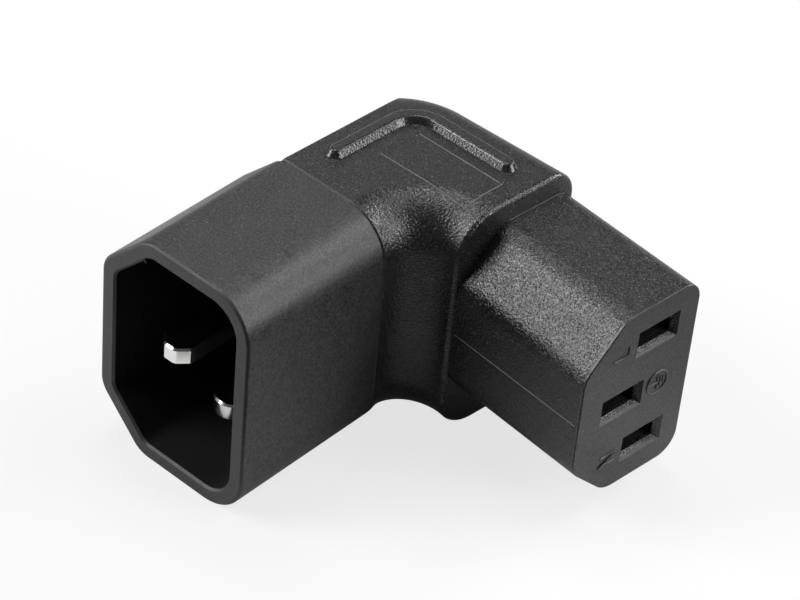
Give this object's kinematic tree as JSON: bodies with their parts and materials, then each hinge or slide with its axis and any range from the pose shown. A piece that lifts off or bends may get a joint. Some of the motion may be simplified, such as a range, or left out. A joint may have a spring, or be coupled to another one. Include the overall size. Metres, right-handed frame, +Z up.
{
  "type": "iec power adapter",
  "caption": "Angled mains adapter: a hooded inlet with recessed pins and a slotted outlet block, joined by a moulded elbow with a raised grip ridge.",
  "frame": {"origin": "where the plug axis and the outlet axis cross, dropped onto the flat underside", "axes": "+Z up from the underside, -Y out of the plug's rim, +X towards the outlet, whose own axis is turned 5.1 degrees from +X towards -Y"},
  "size_m": [0.0448, 0.0406, 0.0289],
  "materials": {
    "shell_plastic": "satin, moulded",
    "overmould_plastic": "spark-eroded texture, moulded",
    "carrier_plastic": "plain moulded",
    "plated_pin": "nickel plated, semi-bright",
    "contact_strip": "rolled strip, bright"
  },
  "bodies": {
    "root": {"plug_shell": "shell_plastic", "overmould": "overmould_plastic", "contact_carrier": "carrier_plastic", "carrier_cap": "carrier_plastic", "line_pin": "plated_pin", "neutral_pin": "plated_pin", "earth_pin": "plated_pin", "line_contact": "contact_strip", "neutral_contact": "contact_strip", "earth_contact": "contact_strip"}
  },
  "joints": []
}
